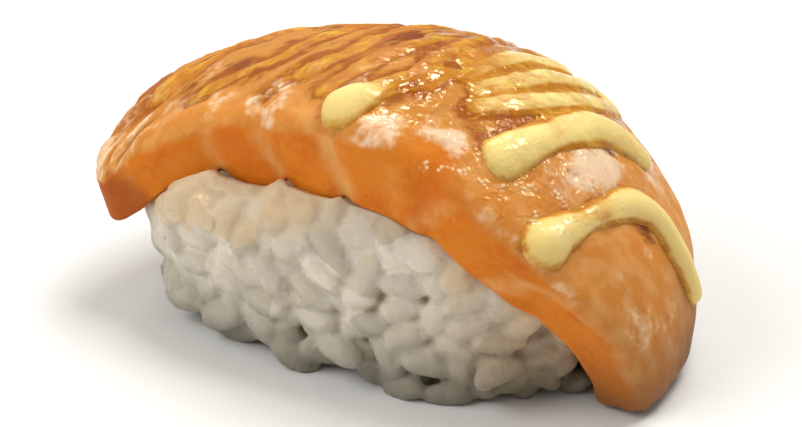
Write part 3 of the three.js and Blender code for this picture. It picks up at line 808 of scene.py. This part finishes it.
def salmon_material(settings):
    """Wet torched salmon: raw orange cut sides, a browned top, pale fat and seams."""
    material, tree = new_material("torched_salmon")
    place = flat_place(tree)
    blotch = step_between(tree, noise_node(tree, place, 0.16, 3), 0.35, 0.65)
    mottle = step_between(tree, noise_node(tree, place, 0.5, 4), 0.38, 0.66)
    speckle = step_between(tree, noise_node(tree, place, 1.6, 4), 0.35, 0.65, -0.25, 0.25)
    paler = step_between(tree, plus(tree, blotch, speckle), 0.0, 1.0)
    cut = mix(tree, paler, settings.cut, settings.cut_light)
    ragged = times(tree, maths(tree, "SUBTRACT", mottle, 0.5), 0.35)
    seam = step_between(tree, plus(tree, painted(tree, "seam"), ragged), 0.0, 1.1)
    cut = mix(tree, seam, cut, settings.seam)
    top = mix(tree, mottle, settings.top, settings.top_light)
    top = mix(tree, times(tree, painted(tree, "torched"), 0.85), top, settings.seared)
    body = mix(tree, painted(tree, "top"), cut, top)
    torched, valley = painted(tree, "torched"), painted(tree, "valley")
    browning = times(tree, torched, step_between(tree, valley, 0.0, 1.0, 0.85, 0.3))
    browning = maths(tree, "MAXIMUM", browning, painted(tree, "halo"))
    patchy = step_between(tree, noise_node(tree, place, 0.22, 3), 0.38, 0.62, 0.1, 0.5)
    streak = times(tree, torched, times(tree, painted(tree, "streak"), patchy))
    scorching = maths(tree, "MAXIMUM", painted(tree, "scorch"), streak)
    torching = use_group(tree, bpy.data.node_groups["Torching"], {
        "Colour": body, "Place": flat_place(tree, TORCH_STREAKS, STRAND_TURN), "Browning": browning,
        "Scorching": scorching, "Golden": opaque(settings.golden),
        "Blistered": opaque(settings.blistered), "Scorched": opaque(settings.scorched),
    })
    colour = mix(tree, times(tree, painted(tree, "toe"), 0.7), torching["Colour"], settings.toe)
    # Painted shade: the hanging end darkens towards its tip.
    colour = mix(tree, times(tree, painted(tree, "tip_shade"), 0.85), colour, settings.tip_shade)
    # Pale fat and torn rim; the rim's raised fibres are paler as a painted highlight.
    pale = maths(tree, "MAXIMUM", painted(tree, "fat"), painted(tree, "rim"))
    fleck = plus(tree, ragged, times(tree, speckle, 0.5))
    fleck = times(tree, fleck, step_between(tree, pale, 0.0, 0.25))
    fat = step_between(tree, plus(tree, pale, fleck), 0.1, 0.85)
    colour = mix(tree, fat, colour, settings.fat)
    # Painted shade: the cracks between the torn fibres are darkened.
    crack_shade = times(tree, painted(tree, "crack_shade"), 0.7)
    colour = mix(tree, crack_shade, colour, settings.scorched)
    film = use_group(tree, bpy.data.node_groups["Oil film"], {
        "Place": place, "Wetness": painted(tree, "wet"), "Trail": painted(tree, "trail"),
        "Colour": colour, "Bead glint": opaque(settings.bead_glint),
    })
    dry = times(tree, torched, step_between(tree, painted(tree, "wet"), 0.2, 0.6, 0.7, 0.0))
    crust = noise_node(tree, flat_place(tree, TORCH_STREAKS, STRAND_TURN), 1.8, 4)
    height = plus(tree, film["Height"], times(tree, crust, dry))
    inputs = {
        "Base Color": film["Colour"], "Roughness": film["Roughness"], "Subsurface Weight": 0.3,
        "IOR": 1.36,
    }
    finish_material(tree, inputs, (2.2, 0.9, 0.35), Height=height, Distance=0.4 * MM, Strength=0.8)
    return material


# ---------------------------------------------------------------- sauce


def strand_tube(rise, line, sides=28):
    """A round-ended strand on the flat slice, lower and wider where it is torched."""
    tangent = np.gradient(line[:, :2], axis=0)
    tangent /= np.linalg.norm(tangent, axis=1, keepdims=True)
    ends = 12
    before = [(0, -math.cos(angle), math.sin(angle)) for angle in np.linspace(0, math.pi / 2, ends)]
    after = [(-1, math.cos(angle), math.sin(angle)) for angle in np.linspace(math.pi / 2, 0, ends)]
    along = [(index, 0.0, 1.0) for index in range(1, len(line) - 1)]
    turn = np.linspace(0, 2 * math.pi, sides, endpoint=False)
    rings = []
    for index, past, size in [*before, *along, *after]:
        half = line[index, 2]
        spot = line[index, :2] + tangent[index] * past * half
        melted = line[index, 3]
        wide = half * size * (STRAND_SPREAD + STRAND_MELTED_SPREAD * melted)
        side = np.cos(turn)[:, None] * np.array([tangent[index, 1], -tangent[index, 0]]) * wide
        top = (STRAND_LIFT + rise * (1 - STRAND_MELTED_DROP * melted)) * half * size
        rounding = np.abs(np.sin(turn)) ** (2.3 + 0.9 * melted)
        up = np.where(np.sin(turn) > 0, top * rounding, -0.7 * np.abs(np.sin(turn)))
        plan = spot + side
        plan = plan + 0.35 * melted * noise(np.column_stack([plan, plan[:, 0] * 0]), 1.7, 81)[:, None]
        z = thickness_at(plan[:, 0] / SLICE_LENGTH) + up
        rings.append(np.column_stack([plan, z]))
    return ringed(np.array(rings))


def stacked(skins):
    """Points and faces of many skins, each (points, faces), as those of one mesh."""
    first = 0
    faces = []
    for points, skin in skins:
        faces.extend(tuple(first + corner for corner in face) for face in skin)
        first += len(points)
    return np.concatenate([points for points, _ in skins]), faces


def joined_by_voxels(points, faces, voxel, rounds):
    """Melts crossing closed skins into one, on a grid of the given spacing, and smooths it."""
    mesh = bpy.data.meshes.new("melting")
    mesh.from_pydata(points.tolist(), [], faces)
    melting = bpy.data.objects.new("melting", mesh)
    bpy.context.scene.collection.objects.link(melting)
    remesh = melting.modifiers.new("Melt", "REMESH")
    remesh.mode = "VOXEL"
    remesh.voxel_size = voxel
    smooth = melting.modifiers.new("Smooth", "SMOOTH")
    smooth.factor = 0.5
    smooth.iterations = rounds
    bpy.context.view_layer.update()
    result = melting.evaluated_get(bpy.context.evaluated_depsgraph_get()).to_mesh()
    melted = np.zeros(len(result.vertices) * 3)
    result.vertices.foreach_get("co", melted)
    ends = np.zeros(len(result.edges) * 2, int)
    result.edges.foreach_get("vertices", ends)
    melted_faces = [tuple(polygon.vertices) for polygon in result.polygons]
    bpy.data.objects.remove(melting)
    bpy.data.meshes.remove(mesh)
    return without_crumbs(melted.reshape(-1, 3), melted_faces, ends.reshape(-1, 2))


def without_crumbs(points, faces, edges, least=200):
    """Leaves out closed skins with fewer points than the least, such as trapped bubbles."""
    skin = np.arange(len(points))
    spread = np.zeros_like(skin)
    while not np.array_equal(skin, spread):
        spread = skin.copy()
        lowest = skin[edges].min(1)
        np.minimum.at(skin, edges.ravel(), np.repeat(lowest, 2))
        skin = skin[skin]
    kept = np.bincount(skin, minlength=len(points))[skin] >= least
    place = np.cumsum(kept) - 1
    return points[kept], [tuple(place[list(face)].tolist()) for face in faces if kept[face[0]]]


class NIGIRI_OT_sauce(bpy.types.Operator):
    """Makes the piped sauce on the slice"""

    bl_idname = "nigiri.sauce"
    bl_label = "Piped sauce"

    def execute(self, context):
        settings = context.scene.nigiri_sauce
        tubes, skins = stacked([strand_tube(rise, line) for rise, line in STRAND_LINES])
        flat, faces = joined_by_voxels(tubes, skins, settings.voxel / MM, SAUCE_SMOOTHING)
        near, browning = nearest_strand(flat)
        out = normals_of(flat, faces)
        height = browning * settings.relief / MM * (fractal(flat, (1.8, 1.8, 1.4), 41) - 0.4)
        height += 0.1 * fractal(flat, 2.2, 51)
        flat[:, 2] -= sear_depth(flat[:, 0], flat[:, 1])
        values = {
            "flat": flat, "browning": browning, "near": near, "wet": wetness(flat),
            "trail": trails(flat),
        }
        material = sauce_material(settings)
        points = bend(flat + out * height[:, None])
        add_piece("piped_sauce", points, faces, material, "salmon", values)
        return {"FINISHED"}


def sauce_material(settings):
    """Creamy sauce, golden where the torch went over it and brown along its edges."""
    material, tree = new_material("piped_sauce")
    place = flat_place(tree, TORCH_STREAKS, STRAND_TURN)
    border = step_between(tree, painted(tree, "near"), 0.66, 1.14, 0.0, 0.75)
    browning = plus(tree, painted(tree, "browning"), border)
    scorching = times(tree, maths(tree, "SUBTRACT", browning, 0.3), 0.5)
    thin = step_between(tree, painted(tree, "near"), 0.45, 1.1, 0.0, 0.5)
    torching = use_group(tree, bpy.data.node_groups["Torching"], {
        "Colour": mix(tree, thin, settings.cream, settings.thin), "Place": place, "Browning": browning,
        "Scorching": scorching, "Golden": opaque(settings.golden),
        "Blistered": opaque(settings.blistered), "Scorched": opaque(settings.scorched),
    })
    blotch = step_between(tree, noise_node(tree, flat_place(tree), 0.26, 3), 0.42, 0.62, 0.0, 0.75)
    soaked = times(tree, blotch, step_between(tree, painted(tree, "browning"), 0.4, 0.8))
    colour = mix(tree, soaked, torching["Colour"], settings.soaked)
    film = use_group(tree, bpy.data.node_groups["Oil film"], {
        "Place": flat_place(tree), "Wetness": times(tree, painted(tree, "wet"), 0.8),
        "Trail": painted(tree, "trail"), "Colour": colour, "Bead glint": opaque(settings.bead_glint),
    })
    inputs = {
        "Base Color": film["Colour"], "Roughness": film["Roughness"],
        "Subsurface Weight": 0.3, "IOR": 1.45,
    }
    bump = {"Height": film["Height"], "Distance": 0.35 * MM, "Strength": 0.6}
    finish_material(tree, inputs, (1.0, 0.7, 0.3), **bump)
    return material


# ---------------------------------------------------------------- rice


def heap_plan():
    """Outline of the heap at its widest, closed, and the share of its length at each point."""
    angle = np.linspace(0, 2 * math.pi, 361)
    wave = np.stack([np.cos(angle), np.sin(angle)], -1)
    half = (RICE_HALF_LENGTH, RICE_HALF_WIDTH)
    outline = half * np.sign(wave) * np.abs(wave) ** (2 / RICE_PLAN_POWER)
    length = np.concatenate([[0], np.cumsum(np.linalg.norm(np.diff(outline, axis=0), axis=1))])
    return outline, length / length[-1]


PLAN, PLAN_SHARE = heap_plan()
PLAN_TURN = np.array(Matrix.Rotation(math.radians(RICE_TURN), 2))


def depth_in_heap(points):
    """How far in from the heap's side points are, in mm, negative for those that stand out."""
    plan = (points[:, :2] - RICE_CENTRE) @ PLAN_TURN
    height = np.clip(points[:, 2], 0, RICE_SHOULDER_AT)
    half = np.stack([
        RICE_HALF_LENGTH * plan_share(height, RICE_FOOT_LENGTH),
        RICE_HALF_WIDTH * plan_share(height, RICE_FOOT_WIDTH),
    ], -1)
    reach = (np.abs(plan / half) ** RICE_PLAN_POWER).sum(1) ** (1 / RICE_PLAN_POWER)
    return (1 / np.maximum(reach, 0.01) - 1) * np.linalg.norm(plan, axis=1)


def plan_share(height, foot_share):
    """Share of the widest plan that the heap has at a height."""
    below = foot_share + (1 - foot_share) * (1 - (1 - height / RICE_WIDEST_AT) ** 2)
    over = (height - RICE_WIDEST_AT) / (RICE_SHOULDER_AT - RICE_WIDEST_AT)
    return np.where(height < RICE_WIDEST_AT, below, 1 - (1 - RICE_SHOULDER_SHARE) * over**2)


def on_heap(around, height, inset=0.0):
    """Points of the heap's outside at shares of the way round it and heights, in mm."""
    around, height = np.broadcast_arrays(np.asarray(around, float) % 1, np.asarray(height, float))
    plan = np.stack([np.interp(around, PLAN_SHARE, column) for column in PLAN.T], -1)
    x = plan[..., 0] * plan_share(height, RICE_FOOT_LENGTH) * (1 - inset / RICE_HALF_LENGTH)
    y = plan[..., 1] * plan_share(height, RICE_FOOT_WIDTH) * (1 - inset / RICE_HALF_WIDTH)
    turned = np.stack([x, y], -1) @ PLAN_TURN.T + RICE_CENTRE
    return np.concatenate([turned, height[..., None]], -1)


def under_slice(points, gap):
    """Pushes points that would reach the slice down to a gap under it, and off the ground.

    Past the edge of the slice, and where that edge is rounded, they may stand a little higher.
    """
    flat = unbend(points)
    past_side = np.abs(flat[:, 1]) - edge_at(flat[:, 0], flat[:, 1])
    past = np.maximum(past_side, np.maximum(-flat[:, 0], flat[:, 0] - SLICE_LENGTH))
    under_edge = np.clip(past + LOWER_EDGE_RADIUS, 0, LOWER_EDGE_RADIUS)
    room = LOWER_EDGE_RADIUS - np.sqrt(LOWER_EDGE_RADIUS**2 - under_edge**2) + np.clip(past, 0, 1.0)
    room += lower_edge_rise(flat[:, 0], flat[:, 1])
    points[:, 2] -= np.maximum(flat[:, 2] + gap - room, 0)
    points[:, 2] = np.maximum(points[:, 2], 0.0)
    return points


def pressed(points):
    """Pushes in what stands far out of the heap where it is widest."""
    proud = np.maximum(-PROUD_LIMIT - depth_in_heap(points), 0) * smoothstep(points[:, 2], 8.0, 13.0)
    return points + inwards_at(points) * PROUD_PRESS * proud[:, None]


def grain_rings(rows=9, sides=12):
    """A plump grain, one long and one wide, in rings along x."""
    angle = np.linspace(0, math.pi, rows + 2)
    turn = np.linspace(0, 2 * math.pi, sides, endpoint=False)
    x = -np.cos(angle) * (1 + 0.06 * np.sin(angle) ** 2)
    radius = np.sin(angle) ** 0.75
    ring = np.stack([np.zeros(sides), np.cos(turn), np.sin(turn)], -1)
    return np.array([ring * r + (place, 0, 0) for place, r in zip(x, radius)])


def heap_frames(around, height):
    """Points of the rice's outside, and how they move with the way round and with the height."""
    def place(ways, heights):
        return under_slice(on_heap(ways, heights), SLICE_GAP + 0.3)

    sideways = (place(around + 0.002, height) - place(around - 0.002, height)) / 0.004
    upwards = (place(around, height + 0.3) - place(around, height - 0.3)) / 0.6
    return place(around, height), sideways, upwards


def unit(ways):
    return ways / np.maximum(np.linalg.norm(ways, axis=-1, keepdims=True), 1e-9)


def inwards_at(points):
    """The level way from each point to the middle of the heap."""
    return unit((np.array([*RICE_CENTRE, 0.0]) - points) * (1, 1, 0))


def settled_grains(count, width, reach, random, rounds=36):
    """Grains pushed apart until they lie side by side: middles, and ways along, across and out."""
    around, height = random.random(count), random.uniform(*GRAIN_HEIGHTS, count)
    turn = np.radians(random.normal(GRAIN_LEAN, GRAIN_STRAY, count))
    offsets = np.array([-reach, 0, reach])
    owner = np.repeat(np.arange(count), 3)
    for _ in range(rounds):
        middle, sideways, upwards = heap_frames(around, height)
        out = unit(np.cross(sideways, upwards))
        level = unit(sideways)
        along = level * np.cos(turn)[:, None] + np.cross(out, level) * np.sin(turn)[:, None]
        across = np.cross(out, along)
        beads = (middle[:, None] + along[:, None] * offsets[:, None]).reshape(-1, 3)
        apart = beads[:, None] - beads
        distance = np.linalg.norm(apart, axis=2) + 100.0 * (owner[:, None] == owner)
        force = apart * (np.maximum(width - distance, 0) / distance)[..., None]
        push = force.sum(1).reshape(count, 3, 3)
        shift = 0.3 * push.sum(1)
        around += (shift * sideways).sum(1) / (sideways**2).sum(1)
        height += (shift * upwards).sum(1) / np.maximum((upwards**2).sum(1), 0.1)
        height = np.clip(height, *GRAIN_HEIGHTS)
        twist = ((push @ across[..., None])[..., 0] * offsets).sum(1) / reach**2
        turn += np.clip(0.15 * twist, -0.3, 0.3)
    return middle, along, across, out


def shape_grain(template, half, random):
    """One grain of its own size, a little bent and tapered."""
    x, y, z = template.T
    size = random.uniform(0.9, 1.1, 3) * half
    taper = 1 + random.uniform(-0.12, 0.12) * x
    notch = 1 - 0.25 * np.exp(-(((x - 0.8) / 0.22) ** 2)) * (y > 0.2)
    curve = random.uniform(-0.25, 0.25) * (1 - x**2)
    return np.stack([x, y * taper * notch + curve, z * taper], -1) * size


class NIGIRI_OT_rice(bpy.types.Operator):
    """Makes the pressed rice: grains over a core, those that touch pressed into each other"""

    bl_idname = "nigiri.rice"
    bl_label = "Rice"

    def execute(self, context):
        settings = context.scene.nigiri_rice
        random = np.random.default_rng(RICE_SEED)
        outer, outer_middles = self.lay(settings, settings.outer, OUTER_SINK, random)
        deep, deep_middles = self.lay(settings, settings.deep, DEEP_SINK, random)
        skins = [self.core(), *outer, *deep]
        points, faces = joined_by_voxels(*stacked(skins), settings.voxel / MM, RICE_SMOOTHING)
        points = points + normals_of(points, faces) * 0.14 * fractal(points, 1.6, 61)[:, None]
        points = under_slice(pressed(points), SLICE_GAP)
        middles = np.concatenate([outer_middles, deep_middles])
        nearest = np.concatenate([
            np.argmin(((part[:, None] - middles) ** 2).sum(2), 1)
            for part in np.array_split(points, 60)
        ])
        values = {
            "tone": random.random(len(middles))[nearest],
            # Partly oil, partly a painted reflection of the salmon near its underside.
            "oil_and_reflection": smoothstep(unbend(points)[:, 2] + 2.2 * noise(points, 5.0, 63), -4.0, 2.0),
            # Painted shade: darker towards the foot of the heap.
            "low": (1 - smoothstep(points[:, 2], 0.0, 12.5)) ** 1.6,
            "shaded": smoothstep(points[:, 0], 6.0, 24.0) * (1 - smoothstep(points[:, 2], 6.0, 20.0)),
            # Painted shade in the hollows between the grains.
            "hollow_shade": smoothstep(depth_in_heap(points), 0.5, 1.6),
        }
        add_piece("rice_grains", points, faces, rice_material(settings), "rice", values)
        return {"FINISHED"}

    def lay(self, settings, count, sink, random):
        """The skins of a layer of grains that lie this far in, in mm, and their middles."""
        half = np.array([settings.length, settings.width, settings.thickness]) / 2 / MM
        template, skin = ringed(grain_rings())
        places = settled_grains(count, 1.6 * half[1], 0.8 * (half[0] - half[1]), random)
        skins, middles = [], []
        for middle, along, across, out in zip(*places):
            proud = FOOT_PROUD * (middle[2] < FOOT_HEIGHT) * (random.random() < FOOT_PROUD_CHANCE)
            full = 0.3 * smoothstep(middle[2], 16.5, 21.0)
            depth = random.uniform(*sink)
            apart = smoothstep(middle[0], -4.0, 8.0) * (1 - smoothstep(middle[2], 12.0, 19.0))
            depth += 0.8 * apart * (depth - 1.4)
            middle = middle - out * (depth - proud - full)
            loose = 10 + 22 * smoothstep(middle[2], 11.0, 3.0)
            tilt = math.radians(random.uniform(-loose, loose))
            leaned = along * math.cos(tilt) + out * math.sin(tilt)
            axes = np.stack([leaned, across, np.cross(leaned, across)])
            grain = shape_grain(template, half * (1 - 0.1 * apart), random) @ axes + middle
            too_high = (grain - under_slice(grain.copy(), SLICE_GAP))[:, 2].max()
            grain[:, 2] -= min(too_high, GRAIN_DROP)
            skins.append((under_slice(grain, -PRESSED_UP / 2), skin))
            middles.append(middle)
        return skins, np.array(middles)

    def core(self):
        """The closed skin of the rice behind the grains, deeper where they lie loosely."""
        sides, rows, caps = 120, 30, 10
        around = np.linspace(0, 1, sides, endpoint=False)
        heights = np.linspace(0.0, CORE_TOP, rows)
        wall = on_heap(around[None], heights[:, None])
        spots = wall.reshape(-1, 3)
        loose = np.maximum(smoothstep(spots[:, 2], 9.0, 2.0), smoothstep(spots[:, 0], 2.0, 14.0))
        inset = CORE_INSET + CORE_LOOSE * loose + CORE_UNEVEN * noise(spots, 3.2, 65)
        wall = (spots + inwards_at(spots) * inset[:, None]).reshape(wall.shape)
        shares = np.linspace(0, 1, caps)[:-1, None, None]
        middle = np.array([*RICE_CENTRE, 0.0])
        bottom = wall[0] * shares + middle * (1 - shares)
        top = (wall[-1] * shares + (middle + (0, 0, heights[-1])) * (1 - shares))[::-1]
        points, faces = ringed(np.concatenate([bottom, wall, top]))
        return under_slice(points, 0.2 * noise(points, 2.4, 67) - PRESSED_UP), faces


def rice_material(settings):
    """Cooked rice: warm white, a little clear, moist; painted shade at the foot, in the hollows and
    beside the hanging end, and tinted near the slice by the salmon's oil and by a painted reflection of
    the salmon.
    """
    material, tree = new_material("cooked_rice")
    place = add_node(tree, "ShaderNodeTexCoord").outputs["Object"]
    cloud = noise_node(tree, place, 260.0, 3)
    fine = noise_node(tree, place, 1500.0, 3)
    colour = mix(tree, painted(tree, "tone"), settings.grain, settings.clear)
    colour = mix(tree, times(tree, painted(tree, "shaded"), 0.7), colour, settings.shaded)
    # Painted shade towards the foot of the heap.
    colour = mix(tree, times(tree, painted(tree, "low"), 0.8), colour, settings.foot_shade)
    # Painted shade in the hollows between the grains.
    colour = mix(tree, times(tree, painted(tree, "hollow_shade"), 0.8), colour, settings.gap)
    by_grain = times(tree, maths(tree, "SUBTRACT", painted(tree, "tone"), 0.5), 0.2)
    ragged = plus(tree, by_grain, times(tree, maths(tree, "SUBTRACT", cloud, 0.5), 0.8))
    # Partly oil, partly a painted orange reflection of the salmon.
    oil_and_reflection = step_between(tree, plus(tree, painted(tree, "oil_and_reflection"), ragged), 0.2, 1.1)
    colour = mix(tree, oil_and_reflection, colour, settings.oil_and_reflection)
    inputs = {
        "Base Color": colour, "Roughness": step_between(tree, cloud, 0.3, 0.7, 0.26, 0.42),
        "Subsurface Weight": 0.25, "IOR": 1.4,
    }
    finish_material(tree, inputs, (1.0, 0.8, 0.6), Height=fine, Distance=0.15 * MM, Strength=0.8)
    return material


# ---------------------------------------------------------------- studio

CAMERA_TURN, CAMERA_RISE, CAMERA_DISTANCE = 32.9031, 29.406, 334.84
CAMERA_AIM, CAMERA_AIM_SHIFT = Vector((0, 0, 15)), (-0.81, -1.58)
# A lamp is (its side and its distance in metres, its turn round the object and rise in degrees).
KEY_LAMP, FILL_LAMP = (0.30, 0.60, 165, 68), (0.45, 0.70, -38, 42)
SPARK_LAMPS = ((0.13, 0.60, 138, 62), (0.13, 0.60, -128, 52))
SPARK_COLOUR = (1.0, 0.86, 0.60)


def direction(turn, rise):
    """The way from the object towards a place at a turn round it and a rise, in degrees."""
    turn, rise = math.radians(turn), math.radians(rise)
    return Vector((math.sin(turn) * math.cos(rise), -math.cos(turn) * math.cos(rise), math.sin(rise)))


def aim(thing, place, back):
    """Puts a camera or lamp in its place, looking against the direction back."""
    right = Vector((0, 0, 1)).cross(back).normalized()
    turned = Matrix((right, back.cross(right), back)).transposed()
    thing.matrix_world = Matrix.Translation(place) @ turned.to_4x4()
    bpy.context.scene.collection.objects.link(thing)


class NIGIRI_OT_studio(bpy.types.Operator):
    """Makes the floor, the lamps and the camera"""

    bl_idname = "nigiri.studio"
    bl_label = "Studio"

    def execute(self, context):
        settings = context.scene.nigiri_studio
        self.make_floor(settings)
        self.make_camera(context.scene, settings)
        self.make_lamp("key", settings.key, *KEY_LAMP).visible_glossy = False
        self.make_lamp("fill", settings.fill, *FILL_LAMP).visible_glossy = False
        for number, place in enumerate(SPARK_LAMPS, 1):
            spark = self.make_lamp(f"spark_{number}", settings.spark, *place)
            spark.visible_diffuse = False
            spark.data.color = SPARK_COLOUR
        self.make_sky(context.scene, settings)
        return {"FINISHED"}

    def make_floor(self, settings):
        half, steps = 2.0, 8
        mesh = bpy.data.meshes.new("floor")
        line = np.linspace(-half, half, steps + 1)
        points = [(x, y, 0.0) for x in line for y in line]
        faces = []
        for row, column in product(range(steps), repeat=2):
            first = row * (steps + 1) + column
            faces.append((first, first + steps + 1, first + steps + 2, first + 1))
        mesh.from_pydata(points, [], faces)
        material, tree = new_material("pale_floor")
        place = add_node(tree, "ShaderNodeTexCoord").outputs["Object"]
        cloud = noise_node(tree, place, 6.0, 2)
        shade = mix(tree, times(tree, cloud, 0.03), settings.floor, (0.5, 0.5, 0.5))
        inputs = {"Base Color": shade, "Roughness": 0.7}
        shader = add_node(tree, "ShaderNodeBsdfPrincipled", inputs)
        add_node(tree, "ShaderNodeOutputMaterial", {"Surface": shader.outputs[0]})
        mesh.materials.append(material)
        floor = bpy.data.objects.new("floor", mesh)
        bpy.context.scene.collection.objects.link(floor)

    def make_camera(self, scene, settings):
        camera = bpy.data.objects.new("camera", bpy.data.cameras.new("camera"))
        camera.data.sensor_width = 36.0
        camera.data.lens = settings.lens
        camera.data.clip_start, camera.data.clip_end = 0.01, 20.0
        back = direction(CAMERA_TURN, CAMERA_RISE)
        right = Vector((0, 0, 1)).cross(back).normalized()
        target = CAMERA_AIM + right * CAMERA_AIM_SHIFT[0] + back.cross(right) * CAMERA_AIM_SHIFT[1]
        aim(camera, (target + back * CAMERA_DISTANCE) * MM, back)
        scene.camera = camera

    def make_lamp(self, name, power, size, distance, turn, rise):
        lamp = bpy.data.objects.new(name, bpy.data.lights.new(name, "AREA"))
        lamp.data.shape = "SQUARE"
        lamp.data.size = size
        lamp.data.energy = power
        back = direction(turn, rise)
        aim(lamp, back * distance, back)
        return lamp

    def make_sky(self, scene, settings):
        scene.world = bpy.data.worlds.new("sky")
        scene.world.use_nodes = True
        tree = scene.world.node_tree
        background = tree.nodes["Background"]
        way = add_node(tree, "ShaderNodeTexCoord").outputs["Generated"]
        rise = add_node(tree, "ShaderNodeSeparateXYZ", {0: way}).outputs["Z"]
        colour = mix(tree, step_between(tree, rise, -0.1, 0.9), (0.45, 0.45, 0.45), (1.0, 0.99, 0.97))
        tree.links.new(colour, background.inputs["Color"])
        background.inputs["Strength"].default_value = settings.sky
        scene.view_settings.view_transform = "Standard"


# ---------------------------------------------------------------- panel and registration


class NIGIRI_PT_panel(bpy.types.Panel):
    """Lists the pieces with their sizes and colours"""

    bl_label = "Salmon nigiri"
    bl_idname = "NIGIRI_PT_panel"
    bl_space_type = "VIEW_3D"
    bl_region_type = "UI"
    bl_category = "Nigiri"

    def draw(self, context):
        for operator, settings in (
            (NIGIRI_OT_rice, context.scene.nigiri_rice),
            (NIGIRI_OT_salmon, context.scene.nigiri_salmon),
            (NIGIRI_OT_sauce, context.scene.nigiri_sauce),
            (NIGIRI_OT_studio, context.scene.nigiri_studio),
        ):
            box = self.layout.box()
            box.operator(operator.bl_idname)
            for name in settings.__annotations__:
                box.prop(settings, name)


CLASSES = (
    SalmonSettings, SauceSettings, RiceSettings, StudioSettings,
    NIGIRI_OT_rice, NIGIRI_OT_salmon, NIGIRI_OT_sauce, NIGIRI_OT_studio, NIGIRI_PT_panel,
)
SETTINGS = {
    "nigiri_salmon": SalmonSettings, "nigiri_sauce": SauceSettings,
    "nigiri_rice": RiceSettings, "nigiri_studio": StudioSettings,
}


def register():
    for kind in CLASSES:
        bpy.utils.register_class(kind)
    for name, kind in SETTINGS.items():
        setattr(bpy.types.Scene, name, PointerProperty(type=kind))


def unregister():
    for name in SETTINGS:
        delattr(bpy.types.Scene, name)
    for kind in reversed(CLASSES):
        bpy.utils.unregister_class(kind)


def main():
    register()
    torching_group()
    oil_film_group()
    bpy.ops.nigiri.studio()
    bpy.ops.nigiri.rice()
    bpy.ops.nigiri.salmon()
    bpy.ops.nigiri.sauce()


if __name__ == "__main__":
    main()
